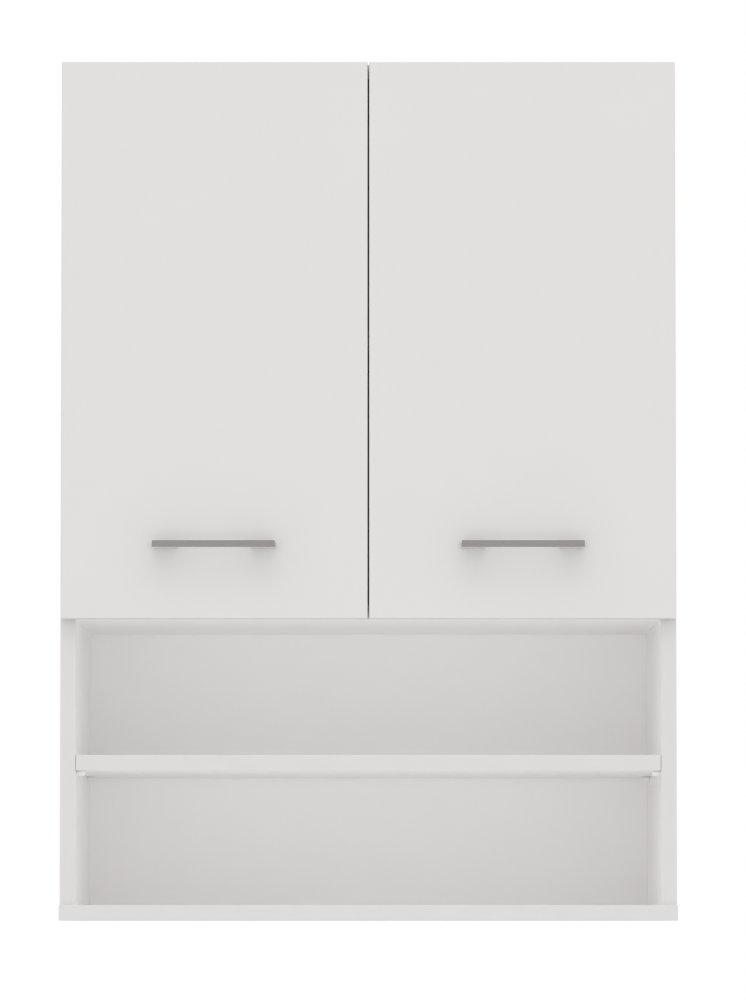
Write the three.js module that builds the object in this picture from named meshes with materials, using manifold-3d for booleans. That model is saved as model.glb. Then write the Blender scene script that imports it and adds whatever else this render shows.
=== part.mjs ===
// Wall cabinet: two doors over two open compartments, hung on a rail by two adjustable hangers.
// Millimetres. +X right, the front faces -Y, the wall is the plane y = 0, +Z up.
// Heights below are counted from the cabinet's underside. The whole group is lowered at the end,
// so that the origin is the middle of the bottom panel's rear edge.
import * as THREE from 'three';
import { RoundedBoxGeometry } from 'three/addons/geometries/RoundedBoxGeometry.js';
import { mergeVertices } from 'three/addons/utils/BufferGeometryUtils.js';
import Module from 'manifold-3d';

const wasm = await Module();
wasm.setup();

// ---- Boards ----
const WIDTH = 600;
const HEIGHT = 837;
const BOARD = 15;
const SIDE_DEPTH = 300;
const ARRIS = 0.6; // radius of every board's edges
const DOOR_ARRIS = 0.8;
const INNER = WIDTH / 2 - BOARD; // inner face of a side

// ---- Back panel, slid into a groove in the sides, top and bottom ----
const BACK_THICK = 3;
const BACK_RECESS = 12; // leaves room for the wall rail
const BACK_FRONT = -BACK_RECESS - BACK_THICK;
const GROOVE_DEPTH = 6.2;
const GROOVE_GAP = 0.1;
const BACK_END_GAP = 0.2; // between the panel's edges and the groove's floor

// ---- Doors ----
const DOOR_GAP = 2; // between the boards' front edges and the door
const DOOR_THICK = 15;
const DOOR_LOW = 293; // level with the divider's underside
const DOOR_INSET = 1; // from the cabinet's outer side
const DOOR_MIDDLE = 0.75; // half the gap between the doors
const DOOR_BACK = -SIDE_DEPTH - DOOR_GAP;
const DOOR_FRONT = DOOR_BACK - DOOR_THICK;
const DOOR_OUTER = WIDTH / 2 - DOOR_INSET;
const DOOR_CENTRE = (DOOR_OUTER + DOOR_MIDDLE) / 2;

// ---- Divider and loose shelves ----
const DIVIDER_LOW = DOOR_LOW;
const SHELF_END_GAP = 0.4;
const SHELF_BACK_GAP = 0.5;
const OPEN_SHELF_LOW = 146;
const INTERIOR_SHELF_LOW = 560.5;
const INTERIOR_SHELF_SETBACK = 15;

// ---- Shelf pins ----
const PIN_R = 2.5;
const PIN_OUT = 8.5;
const PIN_IN = 8;
const PIN_BEVEL = 0.5;
const PIN_REAR_Y = -64;
const PIN_FRONT_SETBACK = 18; // from the shelf's front edge

// ---- Handles: a flat bar with a wide foot at each end ----
const HANDLE_LENGTH = 119;
const HANDLE_HIGH = 6.5;
const HANDLE_OUT = 30;
const HANDLE_BAR = 5; // thickness of the bar, front to back
const HANDLE_FOOT = 23;
const HANDLE_PITCH = 96; // between its two screws
const HANDLE_Z = 364;
const HANDLE_FILLET = 6;
const HANDLE_CORNER = 0.5;
const HANDLE_EDGE = 0.4;
const HANDLE_SCREW_R = 2;
const HANDLE_SCREW_BITE = 10; // into the handle's foot
const HANDLE_SCREW_HEAD_R = 4;
const HANDLE_SCREW_HEAD_HIGH = 2.4;
const HANDLE_SCREW_POINT = 0.5;

// ---- Cup hinges ----
const HINGE_HEIGHTS = { lower: 383, upper: 747 };
const CUP_R = 17.5;
const CUP_WALL = 1.5;
const CUP_DEPTH = 11.5;
const CUP_FLOOR = 1.2;
const CUP_EDGE = 5; // door material left between the cup and the door's outer edge
const CUP_X = DOOR_OUTER - CUP_EDGE - CUP_R;
const CUP_FLANGE = 1.2;
const CUP_FLANGE_R = 19;
const WING_SCREW_X = CUP_X - 9.5;
const WING_SCREW_Z = 22.5; // above and below the cup's middle
const WING_HIGH = WING_SCREW_Z + 7;
const WING_INNER = CUP_X - 19;
const WING_OUTER = CUP_X - 3;
const PIVOT_X = CUP_X + 12.5;
const PIVOT_Y = DOOR_BACK - 6;
const PIVOT_R = 1.5;
const PIVOT_HALF = 11;
const HINGE_HOLE_R = 2.2; // for the screws through wings and plates
const SHEET_EDGE = 0.5; // radius of bent steel's edges
const PLATE_SETBACK = 37; // of the mounting plate's screws, from the side's front edge
const PLATE_Y = -SIDE_DEPTH + PLATE_SETBACK;
const PLATE_SCREW_Z = 16;
const PLATE_BASE = 2;
const PLATE_WING = { half: 8, high: 25 };
const PLATE_SPINE = { half: 18, high: 7.5 };
const RAIL_FRONT = PLATE_Y - 16;
const RAIL_BACK = PLATE_Y + 20;
const PLATE_RAIL = 11; // height of its rail above the side
const ARM_WEB = 1.5;
const ARM_HALF = 9.5;
const ARM_CLEAR = 0.4; // between the arm's flanges and the plate's rail
const ARM_LIFT = 3.5; // arm's flanges stand this far off the side
const ARM_FRONT = DOOR_BACK + 6;
const ARM_BACK = DOOR_BACK + 64;
const ARM_END_WALL = 2;
const ARM_SCREWS = [18, 38]; // back from the arm's front end
const ARM_SCREW_R = 3;
const NOSE_R = 3.5;
const NOSE_HALF = 6;
const NOSE_Y = DOOR_BACK - 3.5;
const NOSE_X = INNER - 9.5;

// ---- Fasteners ----
const CLEAR = 0.3; // round a shaft in its bore
const CONFIRMAT_Y = [-50, -250];
const CONFIRMAT_X = WIDTH / 2 - BOARD / 2;
const CONFIRMAT_HEAD_R = 4.75;
const CONFIRMAT_NECK_R = 3.4;
const CONFIRMAT_R = 2.5;
const CONFIRMAT_LENGTH = 50;
const CONFIRMAT_SINK = 0.3; // head below the board's face
const CONFIRMAT_HEAD_END = 3.1;
const CONFIRMAT_NECK_END = 13;
const CONFIRMAT_TAPER = 1;
const CONFIRMAT_POINT = 3;
const SOCKET_R = 2.3;
const SOCKET_END = 2.5;
const CAM_X = INNER - 34;
const CAM_R = 7.5;
const CAM_HIGH = 12;
const CAM_SINK = 0.2;
const CAM_BOLT_R = 3;
const CAM_BOLT_Z = DIVIDER_LOW + BOARD / 2;
const CAM_BOLT_OUT = 32; // from the side's inner face, into the divider
const CAM_BOLT_IN = 10.5; // into the side
const CAM_BOLT_KNOB = 3;
const CAM_BOLT_NECK = 4;
const CAM_BOLT_NECK_R = 1.8;
const CAM_BOLT_BEVEL = 1;
const BUMPER_R = 4;
const BUMPER_THICK = 1.8;
const BUMPER_BEVEL = 1;
const BUMPER_X = 28;

// ---- Hangers ----
const HANGER_WIDE = 42;
const HANGER_DEEP = 18;
const HANGER_LOW = 752;
const HANGER_TOP = 814;
const HANGER_EDGE = 1.5;
const ADJUSTER_IN = 14; // from the housing's top and bottom
const ADJUSTER_R = 4.5;
const ADJUSTER_DEEP = 3;
const HOOK_X = INNER - 23;
const HOOK_WIDE = 14;
const HOOK_THICK = 4;
const HOOK_LIP = 3;
const HOOK_Z = 780;
const HOOK_REAR = -3;
const HOOK_TIP = 766;
const HOOK_FRONT = -25;
const SLOT_SIDE = 4; // room round the hook in the back panel
const SLOT_LOW = HOOK_TIP - 8;
const SLOT_TOP = HOOK_Z + HOOK_THICK + 12;

// ---- Materials ----
const material = (color, roughness, metalness = 0) =>
  new THREE.MeshStandardMaterial({ color, roughness, metalness });
const MELAMINE = material(0xf0f0ee, 0.45);
const BACK_BOARD = material(0xecebe8, 0.6);
const HANDLE_METAL = material(0x9b9693, 0.4, 0.9);
const NICKEL = material(0xc4c2bd, 0.3, 1);
const ZINC = material(0xb4b5b3, 0.4, 1);
const PIN_PLASTIC = material(0xe8e8e4, 0.5);
const CLEAR_PLASTIC = material(0xdedede, 0.3);
const HANGER_PLASTIC = material(0xe4e4e0, 0.5);

// ---- Solids ----
const WELD = 1e-4; // corners closer than this are one
const PAST = 1; // how far a cutting tool runs past the face that it opens

// Facets round a circle.
const facets = (radius) => (radius > 10 ? 40 : radius > 3.5 ? 24 : 20);

// Swaps two corners of every triangle.
function flip(geometry) {
  const index = geometry.index.array;
  for (let i = 0; i < index.length; i += 3) {
    [index[i + 1], index[i + 2]] = [index[i + 2], index[i + 1]];
  }
  return geometry;
}

function signedVolume(geometry) {
  const corner = [new THREE.Vector3(), new THREE.Vector3(), new THREE.Vector3()];
  let volume = 0;
  for (let i = 0; i < geometry.index.count; i += 3) {
    corner.forEach((c, k) => c.fromBufferAttribute(geometry.attributes.position, geometry.index.getX(i + k)));
    volume += corner[0].dot(corner[1].clone().cross(corner[2])) / 6;
  }
  return volume;
}

function solid(geometry) {
  const bare = geometry.clone();
  bare.deleteAttribute('normal');
  bare.deleteAttribute('uv');
  const welded = mergeVertices(bare, WELD);
  if (signedVolume(welded) < 0) flip(welded);
  return new wasm.Manifold(
    new wasm.Mesh({
      numProp: 3,
      vertProperties: new Float32Array(welded.attributes.position.array),
      triVerts: new Uint32Array(welded.index.array),
    }),
  );
}

function toGeometry(body) {
  const mesh = body.getMesh();
  const geometry = new THREE.BufferGeometry();
  geometry.setAttribute('position', new THREE.BufferAttribute(new Float32Array(mesh.vertProperties), 3));
  geometry.setIndex(new THREE.BufferAttribute(new Uint32Array(mesh.triVerts), 1));
  return geometry;
}

const cut = (body, tools) => tools.reduce((left, tool) => left.subtract(tool), body);
const join = (bodies) => bodies.reduce((whole, body) => whole.add(body));

function box(x0, x1, y0, y1, z0, z1) {
  const geometry = new THREE.BoxGeometry(x1 - x0, y1 - y0, z1 - z0);
  return solid(geometry.translate((x0 + x1) / 2, (y0 + y1) / 2, (z0 + z1) / 2));
}

function board(x0, x1, y0, y1, z0, z1, radius = ARRIS) {
  const geometry = new RoundedBoxGeometry(x1 - x0, y1 - y0, z1 - z0, 1, radius);
  return solid(geometry.translate((x0 + x1) / 2, (y0 + y1) / 2, (z0 + z1) / 2));
}

// A board cut square at its two ends along x or z, where it butts against its neighbours.
function buttBoard(axis, x0, x1, y0, y1, z0, z1) {
  const [growX, growZ] = axis === 'x' ? [PAST, 0] : [0, PAST];
  const long = board(x0 - growX, x1 + growX, y0, y1, z0 - growZ, z1 + growZ);
  return long.intersect(box(x0 - growZ, x1 + growZ, y0 - PAST, y1 + PAST, z0 - growX, z1 + growX));
}

// Turns a shape made along Y so that it runs along the named axis.
function along(geometry, axis) {
  if (axis === 'x') geometry.rotateZ(-Math.PI / 2);
  if (axis === 'z') geometry.rotateX(Math.PI / 2);
  return geometry;
}

// A bar from one point along an axis, of the given length in that axis's positive direction.
function rod(axis, x, y, z, length, radius, sides = facets(radius)) {
  const geometry = new THREE.CylinderGeometry(radius, radius, length, sides).translate(0, length / 2, 0);
  return solid(along(geometry, axis).translate(x, y, z));
}

// A turned piece: [radius, distance along the axis] pairs from one end of the axis to the other.
function turned(axis, x, y, z, profile) {
  const points = profile.map(([r, d]) => new THREE.Vector2(r, d));
  const widest = Math.max(...profile.map(([r]) => r));
  const geometry = along(new THREE.LatheGeometry(points, facets(widest)), axis);
  return solid(geometry.translate(x, y, z));
}

// The two slots of a cross recess, cut down an axis from a point on a screw's end.
function crossRecess(axis, x, y, z, reach, half, depth) {
  const slots = [
    [reach, half],
    [half, reach],
  ];
  return slots.map(([wide, high]) => {
    const slot = new THREE.BoxGeometry(2 * wide, depth + PAST, 2 * high);
    return solid(along(slot.translate(0, (PAST - depth) / 2, 0), axis).translate(x, y, z));
  });
}

const mirrored = (body) => solid(flip(toGeometry(body)).scale(-1, 1, 1));

// ---- Assembly ----
const root = new THREE.Group();
root.name = 'wall_cabinet';
root.position.z = -BOARD / 2;

function add(name, body, finish) {
  const mesh = new THREE.Mesh(toGeometry(body), finish);
  mesh.name = name;
  root.add(mesh);
}

// Adds a piece made for the right side, and its mirror image on the left.
function addPair(makeName, body, finish) {
  add(makeName('right'), body, finish);
  add(makeName('left'), mirrored(body), finish);
}

// ---- Where things go ----
const pinRows = [
  {
    shelf: 'open_shelf',
    z: OPEN_SHELF_LOW - PIN_R,
    ys: { front: -SIDE_DEPTH + PIN_FRONT_SETBACK, rear: PIN_REAR_Y },
  },
  {
    shelf: 'interior_shelf',
    z: INTERIOR_SHELF_LOW - PIN_R,
    ys: { front: -SIDE_DEPTH + INTERIOR_SHELF_SETBACK + PIN_FRONT_SETBACK, rear: PIN_REAR_Y },
  },
];
const grooveY = [BACK_FRONT - GROOVE_GAP, -BACK_RECESS + GROOVE_GAP];
const grooveX = INNER + GROOVE_DEPTH;

// ---- Sides ----
const sideCuts = [box(INNER - PAST, grooveX, ...grooveY, 0, HEIGHT)];
for (const row of pinRows) {
  for (const y of Object.values(row.ys)) {
    sideCuts.push(rod('x', INNER - PAST, y, row.z, PAST + PIN_IN + CLEAR, PIN_R + CLEAR));
  }
}
for (const y of CONFIRMAT_Y) {
  const bore = CONFIRMAT_LENGTH + CLEAR;
  sideCuts.push(rod('z', CONFIRMAT_X, y, 0, bore, CONFIRMAT_R + CLEAR));
  sideCuts.push(rod('z', CONFIRMAT_X, y, HEIGHT - bore, bore, CONFIRMAT_R + CLEAR));
  sideCuts.push(rod('x', INNER - PAST, y, CAM_BOLT_Z, PAST + CAM_BOLT_IN + CLEAR, CAM_BOLT_R + CLEAR));
}
const side = buttBoard('z', INNER, WIDTH / 2, -SIDE_DEPTH, 0, BOARD, HEIGHT - BOARD);
addPair((s) => `side_panel_${s}`, cut(side, sideCuts), MELAMINE);

// ---- Bottom and top, over the ends of the sides ----
function confirmatHoles() {
  const holes = [];
  for (const x of [-CONFIRMAT_X, CONFIRMAT_X]) {
    for (const y of CONFIRMAT_Y) {
      holes.push(rod('z', x, y, -PAST, PAST + CONFIRMAT_HEAD_END + CLEAR, CONFIRMAT_HEAD_R + CLEAR));
      holes.push(rod('z', x, y, -PAST, BOARD + 2 * PAST, CONFIRMAT_NECK_R + CLEAR));
    }
  }
  return holes;
}
const floorGroove = box(-grooveX, grooveX, ...grooveY, BOARD - GROOVE_DEPTH, BOARD + PAST);
const bottom = board(-WIDTH / 2, WIDTH / 2, DOOR_FRONT, 0, 0, BOARD);
add('bottom_panel', cut(bottom, [floorGroove, ...confirmatHoles()]), MELAMINE);

const topBlank = board(-WIDTH / 2, WIDTH / 2, -SIDE_DEPTH, 0, 0, BOARD);
const topUpsideDown = cut(topBlank, [floorGroove, ...confirmatHoles()]);
const top = solid(flip(toGeometry(topUpsideDown)).scale(1, 1, -1).translate(0, 0, HEIGHT));
add('top_panel', top, MELAMINE);

// ---- Divider under the door compartment, held by cam locks from above ----
const dividerCuts = [];
for (const s of [-1, 1]) {
  for (const y of CONFIRMAT_Y) {
    const boltStart = s > 0 ? CAM_X : -INNER - PAST;
    const camBase = DIVIDER_LOW + BOARD - CAM_HIGH - CLEAR;
    dividerCuts.push(rod('z', s * CAM_X, y, camBase, CAM_HIGH + CLEAR + PAST, CAM_R + CLEAR));
    dividerCuts.push(rod('x', boltStart, y, CAM_BOLT_Z, INNER - CAM_X + PAST, CAM_BOLT_R + CLEAR));
  }
}
const dividerTop = DIVIDER_LOW + BOARD;
const divider = buttBoard('x', -INNER, INNER, -SIDE_DEPTH, BACK_FRONT, DIVIDER_LOW, dividerTop);
add('divider_panel', cut(divider, dividerCuts), MELAMINE);

// ---- Back ----
const hookSlot = box(
  HOOK_X - HOOK_WIDE / 2 - SLOT_SIDE,
  HOOK_X + HOOK_WIDE / 2 + SLOT_SIDE,
  BACK_FRONT - PAST,
  -BACK_RECESS + PAST,
  SLOT_LOW,
  SLOT_TOP,
);
const backReach = GROOVE_DEPTH - BACK_END_GAP;
const back = box(
  -INNER - backReach,
  INNER + backReach,
  BACK_FRONT,
  -BACK_RECESS,
  BOARD - backReach,
  HEIGHT - BOARD + backReach,
);
add('back_panel', cut(back, [hookSlot, mirrored(hookSlot)]), BACK_BOARD);

// ---- Loose shelves on their pins ----
const shelfEnd = INNER - SHELF_END_GAP;
const shelfBack = BACK_FRONT - SHELF_BACK_GAP;
function shelf(front, low) {
  return board(-shelfEnd, shelfEnd, front, shelfBack, low, low + BOARD);
}
add('open_shelf', shelf(-SIDE_DEPTH, OPEN_SHELF_LOW), MELAMINE);
add('interior_shelf', shelf(-SIDE_DEPTH + INTERIOR_SHELF_SETBACK, INTERIOR_SHELF_LOW), MELAMINE);

for (const row of pinRows) {
  for (const [place, y] of Object.entries(row.ys)) {
    const pin = turned('x', INNER, y, row.z, [
      [0, -PIN_OUT],
      [PIN_R - PIN_BEVEL, -PIN_OUT],
      [PIN_R, -PIN_OUT + PIN_BEVEL],
      [PIN_R, PIN_IN - PIN_BEVEL],
      [PIN_R - PIN_BEVEL, PIN_IN],
      [0, PIN_IN],
    ]);
    addPair((s) => `${row.shelf}_pin_${place}_${s}`, pin, PIN_PLASTIC);
  }
}

// ---- Doors ----
const doorCuts = [];
for (const z of Object.values(HINGE_HEIGHTS)) {
  const floor = DOOR_BACK - CUP_DEPTH - CLEAR;
  doorCuts.push(rod('y', CUP_X, floor, z, CUP_DEPTH + CLEAR + PAST, CUP_R + CLEAR));
}
const screwXs = { inner: DOOR_CENTRE - HANDLE_PITCH / 2, outer: DOOR_CENTRE + HANDLE_PITCH / 2 };
for (const x of Object.values(screwXs)) {
  doorCuts.push(rod('y', x, DOOR_FRONT - PAST, HANDLE_Z, DOOR_THICK + 2 * PAST, HANDLE_SCREW_R + CLEAR));
}
const door = board(DOOR_MIDDLE, DOOR_OUTER, DOOR_FRONT, DOOR_BACK, DOOR_LOW, HEIGHT, DOOR_ARRIS);
addPair((s) => `door_${s}`, cut(door, doorCuts), MELAMINE);

// ---- Handles and their screws ----
function handleOutline() {
  const half = HANDLE_LENGTH / 2;
  const foot = half - HANDLE_FOOT;
  const front = DOOR_FRONT - HANDLE_OUT;
  const inside = front + HANDLE_BAR;
  const c = HANDLE_CORNER;
  const f = HANDLE_FILLET;
  const outline = new THREE.Shape();
  outline.moveTo(-half, DOOR_FRONT);
  outline.lineTo(-half, front + c);
  outline.absarc(-half + c, front + c, c, Math.PI, 1.5 * Math.PI, false);
  outline.lineTo(half - c, front);
  outline.absarc(half - c, front + c, c, 1.5 * Math.PI, 2 * Math.PI, false);
  outline.lineTo(half, DOOR_FRONT);
  outline.lineTo(foot, DOOR_FRONT);
  outline.lineTo(foot, inside + f);
  outline.absarc(foot - f, inside + f, f, 0, -Math.PI / 2, true);
  outline.lineTo(-foot + f, inside);
  outline.absarc(-foot + f, inside + f, f, -Math.PI / 2, -Math.PI, true);
  outline.lineTo(-foot, DOOR_FRONT);
  return outline;
}
const handleBar = new THREE.ExtrudeGeometry(handleOutline(), {
  depth: HANDLE_HIGH - 2 * HANDLE_EDGE,
  curveSegments: 6,
  bevelThickness: HANDLE_EDGE,
  bevelSize: HANDLE_EDGE,
  bevelOffset: -HANDLE_EDGE,
  bevelSegments: 1,
});
handleBar.translate(DOOR_CENTRE, 0, HANDLE_Z - HANDLE_HIGH / 2 + HANDLE_EDGE);
const biteDepth = HANDLE_SCREW_BITE + CLEAR;
const handleHoles = Object.values(screwXs).map((x) =>
  rod('y', x, DOOR_FRONT - biteDepth, HANDLE_Z, biteDepth + PAST, HANDLE_SCREW_R + CLEAR),
);
addPair((s) => `handle_${s}`, cut(solid(handleBar), handleHoles), HANDLE_METAL);

for (const [place, x] of Object.entries(screwXs)) {
  const end = -DOOR_THICK - HANDLE_SCREW_BITE;
  const high = HANDLE_SCREW_HEAD_HIGH;
  const screw = turned('y', x, DOOR_BACK, HANDLE_Z, [
    [0, end],
    [HANDLE_SCREW_R - HANDLE_SCREW_POINT, end],
    [HANDLE_SCREW_R, end + HANDLE_SCREW_POINT],
    [HANDLE_SCREW_R, 0],
    [HANDLE_SCREW_HEAD_R, 0],
    [HANDLE_SCREW_HEAD_R, 0.4 * high],
    [0.7 * HANDLE_SCREW_HEAD_R, 0.9 * high],
    [0, high],
  ]);
  const reach = 0.55 * HANDLE_SCREW_HEAD_R;
  const recess = crossRecess('y', x, DOOR_BACK + high, HANDLE_Z, reach, reach / 4, 0.6 * high);
  addPair((s) => `handle_screw_${place}_${s}`, cut(screw, recess), ZINC);
}

// ---- Hinges ----
function hingeCup(z) {
  const base = DOOR_BACK - CUP_DEPTH;
  const rim = DOOR_BACK + CUP_FLANGE;
  const shell = rod('y', CUP_X, base, z, CUP_DEPTH + CUP_FLANGE, CUP_R);
  const flange = rod('y', CUP_X, DOOR_BACK, z, CUP_FLANGE, CUP_FLANGE_R);
  const under = DOOR_BACK - SHEET_EDGE;
  const wing = board(WING_INNER, WING_OUTER, under, rim, z - WING_HIGH, z + WING_HIGH, SHEET_EDGE);
  const door = box(WING_INNER, WING_OUTER, under - PAST, DOOR_BACK, z - WING_HIGH, z + WING_HIGH);
  const hollow = rod('y', CUP_X, base + CUP_FLOOR, z, CUP_DEPTH + CUP_FLANGE, CUP_R - CUP_WALL);
  const pivot = rod('z', PIVOT_X, PIVOT_Y, z - PIVOT_HALF, 2 * PIVOT_HALF, PIVOT_R);
  const deep = CUP_FLANGE + 2 * PAST;
  const holes = [-1, 1].map((s) =>
    rod('y', WING_SCREW_X, DOOR_BACK - PAST, z + s * WING_SCREW_Z, deep, HINGE_HOLE_R),
  );
  const wings = cut(wing, [door, ...holes]);
  return join([cut(join([shell, flange, wings]), [hollow]), pivot]);
}

function mountingPlate(z) {
  const foot = INNER - PLATE_BASE;
  const w = PLATE_WING;
  const s = PLATE_SPINE;
  const half = ARM_HALF - ARM_WEB - ARM_CLEAR;
  const wing = board(foot, INNER, PLATE_Y - w.half, PLATE_Y + w.half, z - w.high, z + w.high, SHEET_EDGE);
  const spine = box(foot, INNER, PLATE_Y - s.half, PLATE_Y + s.half, z - s.high, z + s.high);
  const rail = board(
    INNER - PLATE_RAIL,
    INNER - SHEET_EDGE,
    RAIL_FRONT,
    RAIL_BACK,
    z - half,
    z + half,
    SHEET_EDGE,
  );
  const holes = [-1, 1].map((side) =>
    rod('x', foot - PAST, PLATE_Y, z + side * PLATE_SCREW_Z, PLATE_BASE + 2 * PAST, HINGE_HOLE_R),
  );
  return cut(join([wing, spine, rail]), holes);
}

function hingeArm(z) {
  const web = INNER - PLATE_RAIL - ARM_WEB;
  const feet = INNER - ARM_LIFT;
  const channel = board(web, feet, ARM_FRONT, ARM_BACK, z - ARM_HALF, z + ARM_HALF, SHEET_EDGE);
  const inside = ARM_HALF - ARM_WEB;
  const hollowFront = ARM_FRONT + ARM_END_WALL;
  const hollow = box(web + ARM_WEB, feet + PAST, hollowFront, ARM_BACK + PAST, z - inside, z + inside);
  const nose = box(
    NOSE_X - NOSE_R,
    NOSE_X + NOSE_R,
    NOSE_Y,
    ARM_FRONT + ARM_END_WALL / 2,
    z - NOSE_HALF,
    z + NOSE_HALF,
  );
  const tip = rod('z', NOSE_X, NOSE_Y, z - NOSE_HALF, 2 * NOSE_HALF, NOSE_R);
  const screwHoles = ARM_SCREWS.map((back) =>
    rod('x', web - PAST, ARM_FRONT + back, z, PAST + ARM_WEB / 3, ARM_SCREW_R),
  );
  return cut(join([channel, nose, tip]), [hollow, ...screwHoles]);
}

for (const [level, z] of Object.entries(HINGE_HEIGHTS)) {
  addPair((s) => `hinge_cup_${level}_${s}`, hingeCup(z), NICKEL);
  addPair((s) => `hinge_plate_${level}_${s}`, mountingPlate(z), NICKEL);
  addPair((s) => `hinge_arm_${level}_${s}`, hingeArm(z), NICKEL);
}

// ---- Confirmat screws, up through the bottom and down through the top ----
function confirmat(y, turnedOver) {
  const stations = [
    [0, CONFIRMAT_SINK],
    [CONFIRMAT_HEAD_R, CONFIRMAT_SINK],
    [CONFIRMAT_HEAD_R, CONFIRMAT_HEAD_END],
    [CONFIRMAT_NECK_R, CONFIRMAT_HEAD_END],
    [CONFIRMAT_NECK_R, CONFIRMAT_NECK_END],
    [CONFIRMAT_R, CONFIRMAT_NECK_END + CONFIRMAT_TAPER],
    [CONFIRMAT_R, CONFIRMAT_LENGTH - CONFIRMAT_POINT],
    [0, CONFIRMAT_LENGTH],
  ];
  const profile = turnedOver ? stations.map(([r, d]) => [r, HEIGHT - d]).reverse() : stations;
  const socketLow = turnedOver ? HEIGHT - SOCKET_END : -PAST;
  const hexagon = 6;
  const socket = rod('z', CONFIRMAT_X, y, socketLow, SOCKET_END + PAST, SOCKET_R, hexagon);
  return cut(turned('z', CONFIRMAT_X, y, 0, profile), [socket]);
}
for (const [i, place] of ['rear', 'front'].entries()) {
  const y = CONFIRMAT_Y[i];
  addPair((s) => `bottom_screw_${place}_${s}`, confirmat(y, false), ZINC);
  addPair((s) => `top_screw_${place}_${s}`, confirmat(y, true), ZINC);
}

// ---- Cam locks and their bolts ----
for (const [i, place] of ['rear', 'front'].entries()) {
  const y = CONFIRMAT_Y[i];
  const camTop = DIVIDER_LOW + BOARD - CAM_SINK;
  const camBase = DIVIDER_LOW + BOARD - CAM_HIGH;
  const body = rod('z', CAM_X, y, camBase, camTop - camBase, CAM_R);
  const boltBore = rod('x', CAM_X, y, CAM_BOLT_Z, CAM_R + PAST, CAM_BOLT_R + CLEAR);
  const recess = crossRecess('z', CAM_X, y, camTop, CAM_R / 2, CAM_R / 12, CAM_HIGH / 8);
  addPair((s) => `cam_lock_${place}_${s}`, cut(body, [boltBore, ...recess]), ZINC);

  const neckStart = -CAM_BOLT_OUT + CAM_BOLT_KNOB + CAM_BOLT_BEVEL;
  const neckEnd = neckStart + CAM_BOLT_NECK;
  const bolt = turned('x', INNER, y, CAM_BOLT_Z, [
    [0, -CAM_BOLT_OUT],
    [CAM_BOLT_R, -CAM_BOLT_OUT],
    [CAM_BOLT_R, -CAM_BOLT_OUT + CAM_BOLT_KNOB],
    [CAM_BOLT_NECK_R, neckStart],
    [CAM_BOLT_NECK_R, neckEnd],
    [CAM_BOLT_R, neckEnd + CAM_BOLT_BEVEL],
    [CAM_BOLT_R, CAM_BOLT_IN - CAM_BOLT_BEVEL],
    [CAM_BOLT_R - CAM_BOLT_BEVEL, CAM_BOLT_IN],
    [0, CAM_BOLT_IN],
  ]);
  addPair((s) => `cam_bolt_${place}_${s}`, bolt, ZINC);
}

// ---- Door bumpers, where each door meets the divider and the top ----
const bumperHeights = { lower: DIVIDER_LOW + BOARD / 2, upper: HEIGHT - BOARD / 2 };
for (const [level, z] of Object.entries(bumperHeights)) {
  const bumper = turned('y', BUMPER_X, DOOR_BACK, z, [
    [0, 0],
    [BUMPER_R, 0],
    [BUMPER_R, BUMPER_THICK - BUMPER_BEVEL],
    [BUMPER_R - BUMPER_BEVEL, BUMPER_THICK],
    [0, BUMPER_THICK],
  ]);
  addPair((s) => `door_bumper_${level}_${s}`, bumper, CLEAR_PLASTIC);
}

// ---- Hangers: a housing in each upper rear corner, and the hook that takes the wall rail ----
const hangerFront = BACK_FRONT - HANGER_DEEP;
const housing = board(
  INNER - HANGER_WIDE,
  INNER,
  hangerFront,
  BACK_FRONT,
  HANGER_LOW,
  HANGER_TOP,
  HANGER_EDGE,
);
const housingCuts = [
  box(
    HOOK_X - HOOK_WIDE / 2 - CLEAR,
    HOOK_X + HOOK_WIDE / 2 + CLEAR,
    HOOK_FRONT - CLEAR,
    BACK_FRONT + PAST,
    HOOK_Z - CLEAR,
    HOOK_Z + HOOK_THICK + CLEAR,
  ),
];
for (const z of [HANGER_LOW + ADJUSTER_IN, HANGER_TOP - ADJUSTER_IN]) {
  housingCuts.push(rod('y', HOOK_X, hangerFront - PAST, z, ADJUSTER_DEEP + PAST, ADJUSTER_R));
}
addPair((s) => `hanger_housing_${s}`, cut(housing, housingCuts), HANGER_PLASTIC);

const hookBar = [HOOK_X - HOOK_WIDE / 2, HOOK_X + HOOK_WIDE / 2];
const hook = join([
  box(...hookBar, HOOK_FRONT, HOOK_REAR, HOOK_Z, HOOK_Z + HOOK_THICK),
  box(...hookBar, HOOK_REAR - HOOK_LIP, HOOK_REAR, HOOK_TIP, HOOK_Z + HOOK_THICK),
]);
addPair((s) => `hanger_hook_${s}`, hook, ZINC);

export default root;
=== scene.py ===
"""Looks for the hanging wall cabinet: materials, small screws, studio, camera.

Metres, in the CAD frame: +X right, the front faces -Y, the wall is the plane y = 0, +Z up.
"""
import math

import bmesh
import bpy
from mathutils import Matrix, Vector


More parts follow.
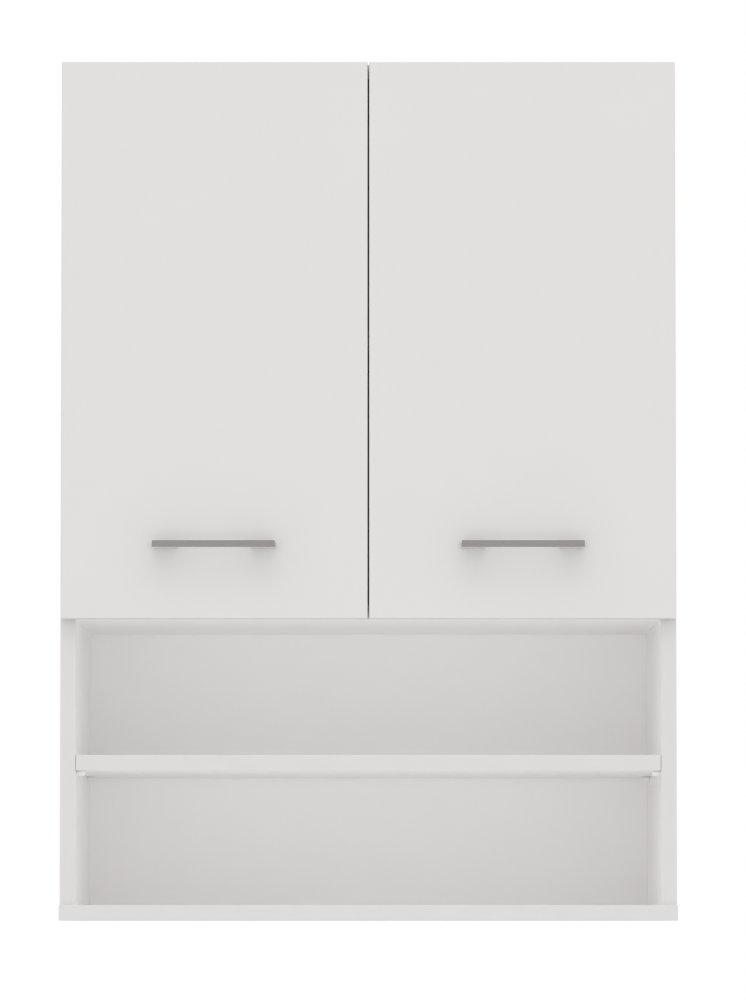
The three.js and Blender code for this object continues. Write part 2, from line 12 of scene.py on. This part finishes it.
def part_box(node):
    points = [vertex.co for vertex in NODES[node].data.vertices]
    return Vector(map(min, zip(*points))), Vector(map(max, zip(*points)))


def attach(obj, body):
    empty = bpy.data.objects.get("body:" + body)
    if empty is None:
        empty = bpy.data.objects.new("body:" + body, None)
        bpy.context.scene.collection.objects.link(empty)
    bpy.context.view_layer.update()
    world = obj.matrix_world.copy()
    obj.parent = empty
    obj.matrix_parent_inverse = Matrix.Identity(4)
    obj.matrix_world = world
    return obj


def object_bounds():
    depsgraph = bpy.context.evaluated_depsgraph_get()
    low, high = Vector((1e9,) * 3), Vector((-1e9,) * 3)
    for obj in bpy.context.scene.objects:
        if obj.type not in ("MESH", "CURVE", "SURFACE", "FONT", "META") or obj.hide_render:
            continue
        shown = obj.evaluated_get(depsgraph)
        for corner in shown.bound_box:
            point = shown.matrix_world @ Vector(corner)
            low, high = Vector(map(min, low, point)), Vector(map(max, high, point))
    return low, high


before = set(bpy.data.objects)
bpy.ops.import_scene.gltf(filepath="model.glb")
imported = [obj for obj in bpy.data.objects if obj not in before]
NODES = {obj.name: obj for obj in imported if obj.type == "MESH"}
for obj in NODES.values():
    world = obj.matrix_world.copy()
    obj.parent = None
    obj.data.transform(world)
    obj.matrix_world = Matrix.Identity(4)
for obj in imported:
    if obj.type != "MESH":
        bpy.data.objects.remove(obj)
CAD_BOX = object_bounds()
MM = 0.001
X, Y, Z = range(3)

# ---- Camera ----
CAMERA_DISTANCE = 5.559  # to the front edges of the sides
CAMERA_DROP = 0.0055  # below the cabinet's underside
CAMERA_RIGHT = 0.0045  # of the cabinet's middle
CAMERA_TIP = 2.9175  # degrees up
FOCAL_LENGTH = 205.74  # mm
SENSOR = 36.0  # mm, along the picture's long side
LENS_SHIFT = 0.135

# ---- Studio ----
FLOOR_DROP = 1.35
FLOOR_SIZE = 60.0
FLOOR_TONE = 0.9
LIGHT_SPREAD = math.radians(90)
LOW_LIGHT = {"place": (0, -4.0, -1.0), "size": (4.0, 1.5), "power": 4.4}
TOP_LIGHT = {"place": (0, -2.2, 3.2), "size": (3.5, 2.5), "power": 4.4}
ROOM_SEEN = 1.0  # the white room's strength behind the object
ROOM_LIGHT = 0.91  # and as a light
MOST_BOUNCES = 16
DIFFUSE_BOUNCES = 12  # enough to light the depth of the compartments

# ---- Whites, and the scale of the patterns ----
# The inside white is painted light: a lighter copy of the same melamine white that brightens
# the open compartments' faces.
INSIDE_WHITE_PAINTED_LIGHT = (0.958, 0.952, 0.949)
OUTSIDE_WHITE = (0.76, 0.744, 0.738)
BAND_WHITE = (0.733, 0.716, 0.709)
NOISE_LOW = 0.3  # most of a noise lies between these two values
NOISE_HIGH = 0.7
SCREEN_PITCH = 1.5 * MM  # of the press screen's print on fibreboard
WAVE_PERIOD = 2 * math.pi / 20  # of a wave texture at scale 1

# ---- Telling faces apart ----
FACING = 0.95  # least part of a normal along the axis it is said to face
ON_FACE = 0.1 * MM  # farther in than this, a face belongs to a bore
BAND_DEEP = 2 * MM  # an edge face lies no deeper than this
OUTER, BAND, CORE, INNER = range(4)  # the materials of a board, in order
CORNER_ANGLE = math.radians(40)  # smoothing stops at sharper corners

# ---- Screws: head radius and height, and the shape of every head ----
HINGE_SCREW = (3.6 * MM, 2.0 * MM)
ARM_SCREW = (2.8 * MM, 1.4 * MM)
HANGER_SCREW = (3.8 * MM, 1.6 * MM)
HEAD_RINGS = 6
HEAD_SIDES = 24
HEAD_FLAT = 0.35  # the top's share of the radius, and the rim's share of the height
RECESS_ARM = 0.62  # share of the head's radius
RECESS_WIDTH = 0.17
RECESS_TAPER = 0.6  # of the bottom, against the top
RECESS_LEVELS = (0.3, 1.2)  # bottom and top, in shares of the head's height

# ---- Where the screws sit on the CAD pieces ----
CUP_SCREW_IN = 9.5 * MM  # from the inner edge of the cup's wings
CUP_SCREW_UP = 22.5 * MM  # above and below the hinge's middle
PLATE_SCREW_UP = 16 * MM
PLATE_SCREW_BACK = 18 * MM  # from the plate's front end
PLATE_THICK = 2 * MM
ARM_LENGTH = 58 * MM
ARM_SCREWS_BACK = {"front": 18 * MM, "rear": 38 * MM}  # from the arm's front end
ARM_SCREW_SINK = 0.6 * MM
ADJUSTER_IN = 14 * MM  # from the hanger housing's top and bottom
ADJUSTER_DEEP = 3 * MM


# ---- Shader helpers ----
def new_material(name):
    """A material, its node tree and its Principled shader."""
    made = bpy.data.materials.new(name)
    made.use_nodes = True
    tree = made.node_tree
    return made, tree, tree.nodes["Principled BSDF"]


def object_coordinates(tree, stretch=(1, 1, 1)):
    """Coordinates in metres that stay put on the piece, stretched along its axes."""
    coords = tree.nodes.new("ShaderNodeTexCoord")
    mapping = tree.nodes.new("ShaderNodeMapping")
    mapping.inputs["Scale"].default_value = stretch
    tree.links.new(coords.outputs["Object"], mapping.inputs["Vector"])
    return mapping.outputs["Vector"]


def noise(tree, vector, size, detail=3.0, roughness=0.5):
    """Noise whose features are about `size` metres across."""
    made = tree.nodes.new("ShaderNodeTexNoise")
    made.inputs["Scale"].default_value = 1 / size
    made.inputs["Detail"].default_value = detail
    made.inputs["Roughness"].default_value = roughness
    tree.links.new(vector, made.inputs["Vector"])
    return made.outputs["Fac"]


def remap(tree, value, low, high):
    """Spreads a noise over low to high."""
    made = tree.nodes.new("ShaderNodeMapRange")
    made.inputs["From Min"].default_value = NOISE_LOW
    made.inputs["From Max"].default_value = NOISE_HIGH
    made.inputs["To Min"].default_value = low
    made.inputs["To Max"].default_value = high
    tree.links.new(value, made.inputs["Value"])
    return made.outputs["Result"]


def blend_colours(tree, value, *stops):
    """A colour ramp over (position, colour) stops."""
    ramp = tree.nodes.new("ShaderNodeValToRGB")
    points = ramp.color_ramp.elements
    while len(points) < len(stops):
        points.new(0.5)
    for point, (position, colour) in zip(points, stops):
        point.position = position
        point.color = (*colour, 1)
    tree.links.new(value, ramp.inputs["Fac"])
    return ramp.outputs["Color"]


def bump(tree, shader, height, depth):
    """Raises the surface by `depth` metres where height is 1."""
    made = tree.nodes.new("ShaderNodeBump")
    made.inputs["Distance"].default_value = depth
    tree.links.new(height, made.inputs["Height"])
    tree.links.new(made.outputs["Normal"], shader.inputs["Normal"])


# ---- Materials ----
def around(white, spread=0.004):
    """The two ends of a faint variation in a white."""
    darker = tuple(part - spread for part in white)
    lighter = tuple(part + spread for part in white)
    return (NOISE_LOW, darker), (NOISE_HIGH, lighter)


def melamine(name, white):
    """White satin melamine: a faint cloudiness and the fine pearl of the press plate."""
    made, tree, shader = new_material(name)
    at = object_coordinates(tree)
    cloud = noise(tree, at, 90 * MM, detail=4)
    whites = blend_colours(tree, cloud, *around(white))
    tree.links.new(whites, shader.inputs["Base Color"])
    pearl = noise(tree, at, 0.9 * MM, detail=2)
    tree.links.new(remap(tree, pearl, 0.4, 0.52), shader.inputs["Roughness"])
    shader.inputs["Specular IOR Level"].default_value = 0.35
    bump(tree, shader, pearl, 0.012 * MM)
    return made


def edge_band():
    """The plastic band on the boards' front edges: a little smoother, with faint draw lines."""
    made, tree, shader = new_material("white_edge_band")
    at = object_coordinates(tree)
    cloud = noise(tree, at, 30 * MM)
    whites = blend_colours(tree, cloud, *around(BAND_WHITE, spread=0.006))
    tree.links.new(whites, shader.inputs["Base Color"])
    drawn = object_coordinates(tree, stretch=(0.08, 1, 0.08))
    grain = noise(tree, drawn, 0.7 * MM, detail=2)
    tree.links.new(remap(tree, grain, 0.32, 0.42), shader.inputs["Roughness"])
    shader.inputs["Specular IOR Level"].default_value = 0.4
    bump(tree, shader, grain, 0.008 * MM)
    return made


def chipboard():
    """The raw core where an edge has no band: pressed flakes in glue."""
    made, tree, shader = new_material("raw_chipboard")
    at = object_coordinates(tree)
    flakes = tree.nodes.new("ShaderNodeTexVoronoi")
    flakes.inputs["Scale"].default_value = 1 / (1.6 * MM)
    tree.links.new(at, flakes.inputs["Vector"])
    tone = noise(tree, flakes.outputs["Color"], 0.6, detail=1)
    tans = blend_colours(
        tree,
        tone,
        (NOISE_LOW, (0.29, 0.19, 0.105)),
        (0.5, (0.5, 0.37, 0.23)),
        (NOISE_HIGH, (0.64, 0.51, 0.35)),
    )
    tree.links.new(tans, shader.inputs["Base Color"])
    shader.inputs["Roughness"].default_value = 0.85
    bump(tree, shader, flakes.outputs["Distance"], 0.12 * MM)
    return made


def lacquered_board():
    """The face of the thin back: white lacquer over fine fibres, in the lighter inside white
    that paints light onto the compartments' back walls.
    """
    made, tree, shader = new_material("white_lacquer")
    at = object_coordinates(tree)
    cloud = noise(tree, at, 120 * MM, detail=4)
    whites = blend_colours(tree, cloud, *around(INSIDE_WHITE_PAINTED_LIGHT))
    tree.links.new(whites, shader.inputs["Base Color"])
    fibre = noise(tree, at, 0.5 * MM)
    tree.links.new(remap(tree, fibre, 0.5, 0.64), shader.inputs["Roughness"])
    bump(tree, shader, fibre, 0.01 * MM)
    return made


def raw_fibreboard():
    """The unlacquered rear of the thin back, with the press screen's fine grid."""
    made, tree, shader = new_material("raw_fibreboard")
    at = object_coordinates(tree)
    fibre = noise(tree, at, 1.4 * MM, detail=5, roughness=0.65)
    dark = (0.27, 0.17, 0.095)
    light = (0.42, 0.29, 0.18)
    browns = blend_colours(tree, fibre, (NOISE_LOW, dark), (NOISE_HIGH, light))
    tree.links.new(browns, shader.inputs["Base Color"])
    shader.inputs["Roughness"].default_value = 0.8
    grids = []
    for direction in ("X", "Z"):
        wave = tree.nodes.new("ShaderNodeTexWave")
        wave.inputs["Scale"].default_value = WAVE_PERIOD / SCREEN_PITCH
        wave.bands_direction = direction
        tree.links.new(at, wave.inputs["Vector"])
        grids.append(wave.outputs["Fac"])
    screen = tree.nodes.new("ShaderNodeMath")
    screen.operation = "MULTIPLY"
    tree.links.new(grids[0], screen.inputs[0])
    tree.links.new(grids[1], screen.inputs[1])
    bump(tree, shader, screen.outputs["Value"], 0.06 * MM)
    return made


def metal(name, dark, light, rough, streak=(1, 1, 1), grain=0.4 * MM, depth=0.004 * MM):
    """A plated or brushed metal with fine variation in tone and gloss."""
    made, tree, shader = new_material(name)
    at = object_coordinates(tree, streak)
    grains = noise(tree, at, grain, detail=4, roughness=0.6)
    tones = blend_colours(tree, grains, (NOISE_LOW, dark), (NOISE_HIGH, light))
    tree.links.new(tones, shader.inputs["Base Color"])
    shader.inputs["Metallic"].default_value = 1
    tree.links.new(remap(tree, grains, *rough), shader.inputs["Roughness"])
    bump(tree, shader, grains, depth)
    return made


def plastic(name, low, high, rough=0.45):
    """Moulded plastic: faint mottling and a spark-eroded texture."""
    made, tree, shader = new_material(name)
    at = object_coordinates(tree)
    mottle = noise(tree, at, 6 * MM)
    tones = blend_colours(tree, mottle, (NOISE_LOW, low), (NOISE_HIGH, high))
    tree.links.new(tones, shader.inputs["Base Color"])
    texture = noise(tree, at, 0.3 * MM, detail=2)
    tree.links.new(remap(tree, texture, rough - 0.06, rough + 0.06), shader.inputs["Roughness"])
    bump(tree, shader, texture, 0.01 * MM)
    return made


def clear_plastic():
    """The soft clear plastic of the door bumpers."""
    made = plastic("clear_plastic", (0.8, 0.8, 0.8), (0.86, 0.86, 0.86), rough=0.25)
    shader = made.node_tree.nodes["Principled BSDF"]
    shader.inputs["Transmission Weight"].default_value = 0.7
    shader.inputs["IOR"].default_value = 1.49
    return made


MELAMINE = melamine("white_melamine", OUTSIDE_WHITE)
# Painted light: the inside faces get a lighter copy of the melamine.
INNER_MELAMINE_PAINTED_LIGHT = melamine("white_melamine_inside_painted_light", INSIDE_WHITE_PAINTED_LIGHT)
EDGE_BAND = edge_band()
CHIPBOARD = chipboard()
LACQUER = lacquered_board()
FIBREBOARD = raw_fibreboard()
SATIN_METAL = metal(
    "satin_grey_metal",
    dark=(0.334, 0.315, 0.309),
    light=(0.354, 0.335, 0.329),
    rough=(0.08, 0.12),
    streak=(0.06, 1, 1),
    depth=0.001 * MM,
)
# A lighter copy of the handle's metal for its upper and lower faces: painted reflection of the
# door on the undersides.
METAL_PAINTED_REFLECTION = metal(
    "metal_painted_reflection",
    dark=(0.72, 0.71, 0.7),
    light=(0.76, 0.75, 0.74),
    rough=(0.08, 0.12),
    depth=0.001 * MM,
)
NICKEL = metal(
    "nickel_plate",
    dark=(0.58, 0.57, 0.54),
    light=(0.66, 0.65, 0.62),
    rough=(0.2, 0.32),
)
ZINC = metal(
    "zinc_plate",
    dark=(0.5, 0.51, 0.52),
    light=(0.66, 0.67, 0.68),
    rough=(0.28, 0.45),
    grain=0.8 * MM,
)
PIN_PLASTIC = plastic("white_plastic", (0.9, 0.9, 0.895), (0.93, 0.93, 0.925))
HANGER_PLASTIC = plastic("hanger_plastic", (0.62, 0.62, 0.6), (0.68, 0.68, 0.66), rough=0.4)
CLEAR_PLASTIC = clear_plastic()


# ---- Which node takes which material ----
def faces_towards(piece, axis, sign):
    """The piece's faces that look along that axis, forwards for sign 1 or backwards for -1."""
    return [face for face in piece.data.polygons if face.normal[axis] * sign > FACING]


def paint(piece, *finishes):
    """Gives a piece its materials; every face starts on the first."""
    piece.data.materials.clear()
    for finish in finishes:
        piece.data.materials.append(finish)
    for face in piece.data.polygons:
        face.material_index = 0


def paint_board(name, inside):
    """Melamine faces, a band on the front edge and a raw rear edge; the faces that look into
    the cabinet take a lighter copy of the white, painted light for the compartments.

    `inside` lists the (axis, sign) of the faces that look into the cabinet.
    """
    piece = NODES[name]
    paint(piece, MELAMINE, EDGE_BAND, CHIPBOARD, INNER_MELAMINE_PAINTED_LIGHT)
    # The inward faces take the lighter, painted-light white.
    for axis, sign in inside:
        for face in faces_towards(piece, axis, sign):
            face.material_index = INNER
    for face in faces_towards(piece, Y, -1):
        face.material_index = BAND
    for face in faces_towards(piece, Y, 1):
        face.material_index = CORE


def paint_door(name):
    """A door is banded on all four edges, and its bores are raw inside."""
    piece = NODES[name]
    low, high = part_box(name)
    paint(piece, MELAMINE, EDGE_BAND, CHIPBOARD)
    for face in piece.data.polygons:
        middle = face.center
        if abs(face.normal.y) > FACING:
            depth = min(middle.y - low.y, high.y - middle.y)
            face.material_index = OUTER if depth < ON_FACE else CORE
            continue
        depth = min(middle.x - low.x, high.x - middle.x, middle.z - low.z, high.z - middle.z)
        face.material_index = BAND if depth < BAND_DEEP else CORE


def paint_back(name):
    """Lacquer on the front face of the thin back, and bare fibreboard elsewhere."""
    piece = NODES[name]
    paint(piece, FIBREBOARD, LACQUER)
    for face in faces_towards(piece, Y, -1):
        face.material_index = 1


def paint_handle(name):
    """A satin front and ends, with brighter upper and lower sides: a lighter copy of the metal,
    painted reflection on the undersides.
    """
    piece = NODES[name]
    paint(piece, SATIN_METAL, METAL_PAINTED_REFLECTION)
    for sign in (1, -1):
        for face in faces_towards(piece, Z, sign):
            face.material_index = 1
    round_off(piece)


def split_corners(piece):
    """Smooth shading that stops at the piece's corners."""
    for face in piece.data.polygons:
        face.use_smooth = True
    split = piece.modifiers.new("corners", "EDGE_SPLIT")
    split.split_angle = CORNER_ANGLE


def round_off(piece):
    """Smooth shading on the round stretches of a faceted piece, flat on its flats."""
    weld = piece.modifiers.new("weld", "WELD")
    weld.merge_threshold = 0.002 * MM
    split_corners(piece)
    flats = piece.modifiers.new("flats", "WEIGHTED_NORMAL")
    flats.keep_sharp = True


BANDED_BOARDS = {
    "side_panel_left": ((X, 1),),
    "side_panel_right": ((X, -1),),
    "bottom_panel": ((Z, 1),),
    "top_panel": (),
    "divider_panel": ((Z, -1),),
    "open_shelf": ((Z, 1), (Z, -1)),
    "interior_shelf": (),
}
for board, inside in BANDED_BOARDS.items():
    paint_board(board, inside)
for door in ("door_left", "door_right"):
    paint_door(door)
paint_back("back_panel")

FINISHES = (
    ("handle_screw", ZINC),
    ("hinge", NICKEL),
    ("cam", ZINC),
    ("top_screw", ZINC),
    ("bottom_screw", ZINC),
    ("hanger_hook", ZINC),
    ("hanger_housing", HANGER_PLASTIC),
    ("door_bumper", CLEAR_PLASTIC),
    ("open_shelf_pin", PIN_PLASTIC),
    ("interior_shelf_pin", PIN_PLASTIC),
)
for handle in ("handle_left", "handle_right"):
    paint_handle(handle)
for name, piece in NODES.items():
    for start, finish in FINISHES:
        if name.startswith(start):
            paint(piece, finish)
            round_off(piece)
            break


# ---- Small screws that the CAD leaves out ----
def dome(radius, high):
    """A round head standing on the origin, rings of corners from its rim to its flat top."""
    outline = [(radius, 0.0)]
    for i in range(HEAD_RINGS + 1):
        turn = i / HEAD_RINGS * math.pi / 2
        out = radius * (HEAD_FLAT + (1 - HEAD_FLAT) * math.cos(turn))
        up = high * (HEAD_FLAT + (1 - HEAD_FLAT) * math.sin(turn))
        outline.append((out, up))
    shape = bmesh.new()
    loops = []
    for r, h in outline:
        ring = []
        for k in range(HEAD_SIDES):
            angle = 2 * math.pi * k / HEAD_SIDES
            ring.append(shape.verts.new((r * math.cos(angle), r * math.sin(angle), h)))
        loops.append(ring)
    for lower, upper in zip(loops, loops[1:]):
        for k in range(HEAD_SIDES):
            after = (k + 1) % HEAD_SIDES
            shape.faces.new((lower[k], lower[after], upper[after], upper[k]))
    shape.faces.new(list(reversed(loops[0])))
    shape.faces.new(loops[-1])
    return shape


def cross(radius, high):
    """Two crossed wedges, narrower at the bottom, that cut a recess into a head."""
    arm = radius * RECESS_ARM
    width = radius * RECESS_WIDTH
    shape = bmesh.new()
    for long, short in ((arm, width), (width, arm)):
        for corner in bmesh.ops.create_cube(shape, size=2)["verts"]:
            upper = corner.co.z > 0
            taper = 1.0 if upper else RECESS_TAPER
            level = high * RECESS_LEVELS[upper]
            corner.co = Vector((corner.co.x * long * taper, corner.co.y * short * taper, level))
    return shape


def place_shape(name, shape):
    """An object in the scene, made of a finished bmesh."""
    mesh = bpy.data.meshes.new(name)
    shape.to_mesh(mesh)
    shape.free()
    made = bpy.data.objects.new(name, mesh)
    bpy.context.scene.collection.objects.link(made)
    return made


def subtract(piece, cutter):
    """Cuts one object out of another, and removes the cutter."""
    cut = piece.modifiers.new("cut", "BOOLEAN")
    cut.object = cutter
    cut.solver = "EXACT"
    cut.use_self = True
    graph = bpy.context.evaluated_depsgraph_get()
    result = bpy.data.meshes.new_from_object(piece.evaluated_get(graph))
    piece.modifiers.clear()
    piece.data = result
    bpy.data.objects.remove(cutter)


def pan_screw(name, seat, outward, body, size):
    """A domed screw head with a cross recess, standing on `seat` and facing `outward`."""
    head = place_shape(name, dome(*size))
    subtract(head, place_shape("cross", cross(*size)))
    turn = Vector(outward).to_track_quat("Z", "Y").to_matrix().to_4x4()
    head.data.transform(Matrix.Translation(seat) @ turn)
    paint(head, ZINC)
    split_corners(head)
    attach(head, body)


def hinge_screws(side, sign, level):
    """Two screws through a cup's wings, two through its plate's wings, two in its arm."""
    label = f"{level}_{side}"
    cup_low, cup_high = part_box(f"hinge_cup_{label}")
    plate_low, plate_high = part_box(f"hinge_plate_{label}")
    arm_low, arm_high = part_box(f"hinge_arm_{label}")
    middle_z = (cup_low.z + cup_high.z) / 2
    wing_x = (cup_low.x if sign > 0 else cup_high.x) + sign * CUP_SCREW_IN
    plate_x = (plate_high.x if sign > 0 else plate_low.x) - sign * PLATE_THICK
    plate_y = plate_low.y + PLATE_SCREW_BACK
    web_x = (arm_low.x if sign > 0 else arm_high.x) + sign * ARM_SCREW_SINK
    arm_front = arm_high.y - ARM_LENGTH
    inward = (-sign, 0, 0)
    for place, way in (("low", -1), ("high", 1)):
        seat = (wing_x, cup_high.y, middle_z + way * CUP_SCREW_UP)
        pan_screw(f"cup_screw_{place}_{label}", seat, (0, 1, 0), f"{side}_door", HINGE_SCREW)
        seat = (plate_x, plate_y, middle_z + way * PLATE_SCREW_UP)
        pan_screw(f"plate_screw_{place}_{label}", seat, inward, "cabinet", HINGE_SCREW)
    for place, back in ARM_SCREWS_BACK.items():
        seat = (web_x, arm_front + back, middle_z)
        pan_screw(f"arm_screw_{place}_{label}", seat, inward, "cabinet", ARM_SCREW)


def hanger_screws(side):
    """The two adjusting screws at the bottom of a housing's holes."""
    low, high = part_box(f"hanger_housing_{side}")
    hook_low, hook_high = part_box(f"hanger_hook_{side}")
    x = (hook_low.x + hook_high.x) / 2
    for place, z in (("low", low.z + ADJUSTER_IN), ("high", high.z - ADJUSTER_IN)):
        seat = (x, low.y + ADJUSTER_DEEP, z)
        pan_screw(f"hanger_screw_{place}_{side}", seat, (0, -1, 0), "cabinet", HANGER_SCREW)


for side, sign in (("left", -1), ("right", 1)):
    hanger_screws(side)
    for level in ("lower", "upper"):
        hinge_screws(side, sign, level)


# ---- Studio: floor, light, camera ----
def plain_floor():
    """A pale floor under the hanging cabinet."""
    mesh = bpy.data.meshes.new("studio_floor")
    half = FLOOR_SIZE / 2
    z = CAD_BOX[0].z - FLOOR_DROP
    corners = [(-half, -half, z), (half, -half, z), (half, half, z), (-half, half, z)]
    mesh.from_pydata(corners, [], [(0, 1, 2, 3)])
    floor = bpy.data.objects.new("studio_floor", mesh)
    bpy.context.scene.collection.objects.link(floor)
    finish, tree, shader = new_material("studio_floor")
    shader.inputs["Base Color"].default_value = (FLOOR_TONE, FLOOR_TONE, FLOOR_TONE, 1)
    shader.inputs["Roughness"].default_value = 0.9
    floor.data.materials.append(finish)


def soft_light(name, aim, place, size, power):
    """A large soft box, unseen by the camera."""
    light = bpy.data.lights.new(name, "AREA")
    light.shape = "RECTANGLE"
    light.size, light.size_y = size
    light.energy = power
    light.spread = LIGHT_SPREAD
    lamp = bpy.data.objects.new(name, light)
    lamp.location = place
    lamp.rotation_mode = "QUATERNION"
    lamp.rotation_quaternion = (Vector(aim) - Vector(place)).to_track_quat("-Z", "Y")
    lamp.visible_camera = False
    bpy.context.scene.collection.objects.link(lamp)


def white_room():
    """White all round: full white behind the object, dimmer as a light."""
    world = bpy.data.worlds.new("studio")
    world.use_nodes = True
    tree = world.node_tree
    tree.nodes.clear()
    path = tree.nodes.new("ShaderNodeLightPath")
    strength = tree.nodes.new("ShaderNodeMapRange")
    strength.inputs["To Min"].default_value = ROOM_LIGHT
    strength.inputs["To Max"].default_value = ROOM_SEEN
    background = tree.nodes.new("ShaderNodeBackground")
    output = tree.nodes.new("ShaderNodeOutputWorld")
    tree.links.new(path.outputs["Is Camera Ray"], strength.inputs["Value"])
    tree.links.new(strength.outputs["Result"], background.inputs["Strength"])
    tree.links.new(background.outputs["Background"], output.inputs["Surface"])
    background.inputs["Color"].default_value = (1, 1, 1, 1)
    bpy.context.scene.world = world


def front_camera():
    """A long lens level with the cabinet's underside, tipped up to take it in."""
    front_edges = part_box("side_panel_left")[0].y
    data = bpy.data.cameras.new("camera")
    data.sensor_width = SENSOR
    data.lens = FOCAL_LENGTH
    data.shift_y = LENS_SHIFT
    camera = bpy.data.objects.new("camera", data)
    camera.location = (CAMERA_RIGHT, front_edges - CAMERA_DISTANCE, CAD_BOX[0].z - CAMERA_DROP)
    camera.rotation_euler = (math.radians(90 + CAMERA_TIP), 0, 0)
    bpy.context.scene.collection.objects.link(camera)
    bpy.context.scene.camera = camera


plain_floor()
white_room()
centre = (CAD_BOX[0] + CAD_BOX[1]) / 2
soft_light("low_light", centre, **LOW_LIGHT)
soft_light("top_light", centre, **TOP_LIGHT)
front_camera()
bpy.context.scene.cycles.max_bounces = MOST_BOUNCES
bpy.context.scene.cycles.diffuse_bounces = DIFFUSE_BOUNCES
bpy.context.scene.view_settings.view_transform = "Standard"
